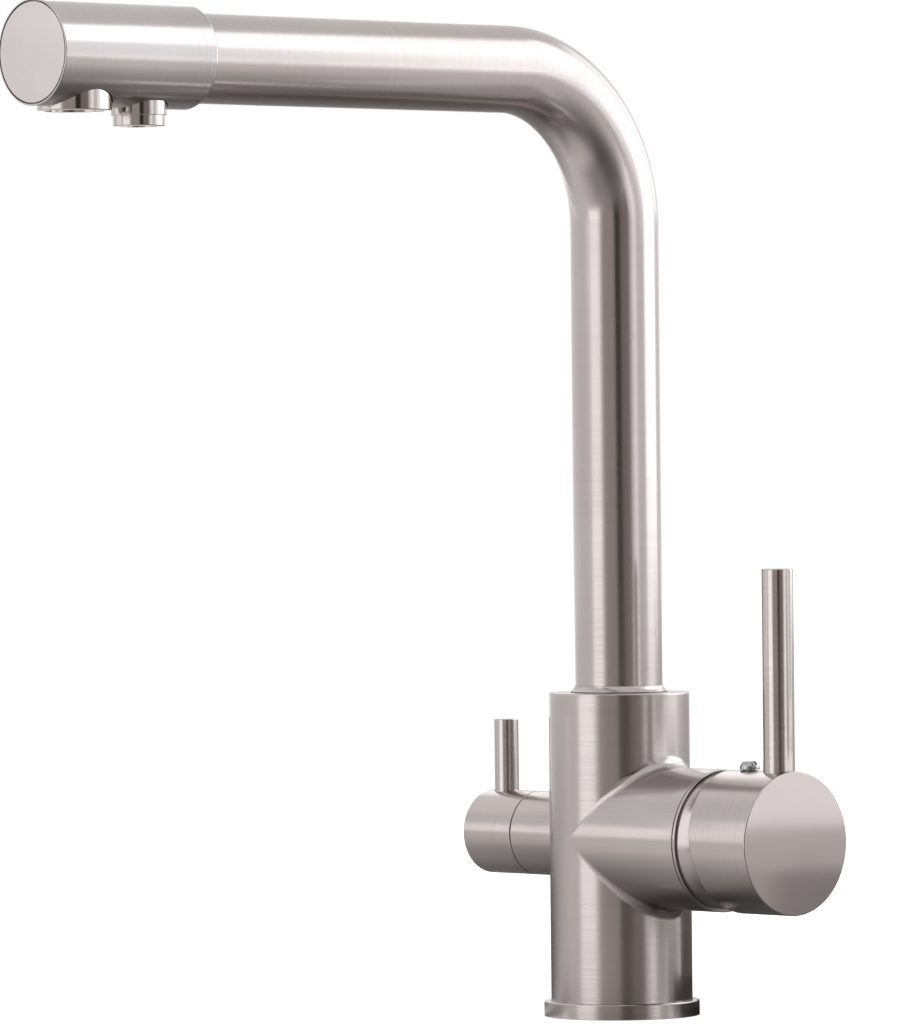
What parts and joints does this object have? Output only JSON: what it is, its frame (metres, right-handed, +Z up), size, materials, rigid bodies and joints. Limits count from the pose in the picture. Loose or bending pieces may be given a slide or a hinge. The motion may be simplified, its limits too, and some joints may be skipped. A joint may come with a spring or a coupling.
{
  "type": "three way filtered water tap",
  "caption": "Kitchen mixer tap with a swivelling square-bend spout, a mixer pin handle, a filtered water pin handle and separate outlets.",
  "frame": {"origin": "centre of the tap's foot on the worktop plane, on the column's axis", "axes": "+Z up along the column, the spout reaches towards -Y, the mixer handle is on +X and the filter handle on -X"},
  "size_m": [0.1385, 0.2627, 0.316],
  "materials": {
    "brushed_nickel": "brushed nickel plate on brass",
    "polished_nickel": "fine turned, polished nickel plate",
    "chrome": "polished chrome plate",
    "brass": "turned brass",
    "steel": "stainless steel",
    "ceramic": "lapped alumina",
    "nylon": "moulded nylon",
    "slip_plastic": "moulded low friction plastic",
    "rubber": "moulded rubber"
  },
  "bodies": {
    "tap_base": {"tap_body": "brushed_nickel", "base_ring": "brushed_nickel", "base_gasket": "rubber", "spout_slip_ring": "slip_plastic", "spout_retaining_screw": "steel", "filtered_tube_seal": "rubber", "cartridge_base": "nylon", "port_seal_hot": "rubber", "port_seal_cold": "rubber", "port_seal_mixed": "rubber", "fixed_disc": "ceramic", "cartridge_housing": "nylon", "cartridge_nut": "brass", "mixer_bonnet": "brushed_nickel", "filter_valve_body": "brass", "filter_seat_seal": "rubber", "filter_fixed_disc": "ceramic", "filter_valve_o_ring": "rubber"},
    "spout": {"spout_foot": "brushed_nickel", "spout_o_ring_lower": "rubber", "spout_o_ring_upper": "rubber", "spout_tube": "brushed_nickel", "filtered_water_tube": "slip_plastic", "outlet_head": "brushed_nickel", "head_cap": "brushed_nickel", "main_aerator_housing": "chrome", "main_aerator_insert": "nylon", "main_aerator_washer": "rubber", "filter_nozzle_housing": "chrome", "filter_nozzle_insert": "nylon", "filter_nozzle_washer": "rubber", "filter_elbow": "slip_plastic"},
    "mixer_rotor": {"stem_rotor": "nylon", "stem_pivot_pin": "steel"},
    "mixer_disc": {"moving_disc": "ceramic", "disc_carrier": "nylon"},
    "mixer_handle": {"mixer_stem": "brass", "mixer_hub": "brushed_nickel", "mixer_pin": "polished_nickel", "hub_screw": "steel"},
    "filter_handle": {"filter_moving_disc": "ceramic", "filter_spindle": "brass", "filter_spindle_o_ring": "rubber", "filter_spindle_clip": "steel", "filter_hub": "brushed_nickel", "filter_pin": "polished_nickel", "filter_grub_screw": "steel"}
  },
  "joints": [
    {"name": "spout_swivel", "type": "hinge", "parent": "tap_base", "child": "spout", "pos_m": [0, 0, 0.103], "axis": [0, 0, 1], "continuous": true},
    {"name": "mixer_turn", "type": "hinge", "parent": "tap_base", "child": "mixer_rotor", "pos_m": [0.043, 0, 0.057], "axis": [1, 0, 0], "range_deg": [-45, 45]},
    {"name": "mixer_tilt", "type": "hinge", "parent": "mixer_rotor", "child": "mixer_handle", "pos_m": [0.043, 0, 0.057], "axis": [0, 1, 0], "range_deg": [0, 20]},
    {"name": "mixer_disc_slide", "type": "slide", "parent": "mixer_rotor", "child": "mixer_disc", "axis": [0, 0, 1], "range_m": [0, 0.0059]},
    {"name": "filter_turn", "type": "hinge", "parent": "tap_base", "child": "filter_handle", "pos_m": [-0.04, 0, 0.057], "axis": [1, 0, 0], "range_deg": [0, 90]}
  ],
  "couplings": [
    {"joint": "mixer_disc_slide", "follows": "mixer_tilt", "m_per_rad": 0.016657}
  ]
}
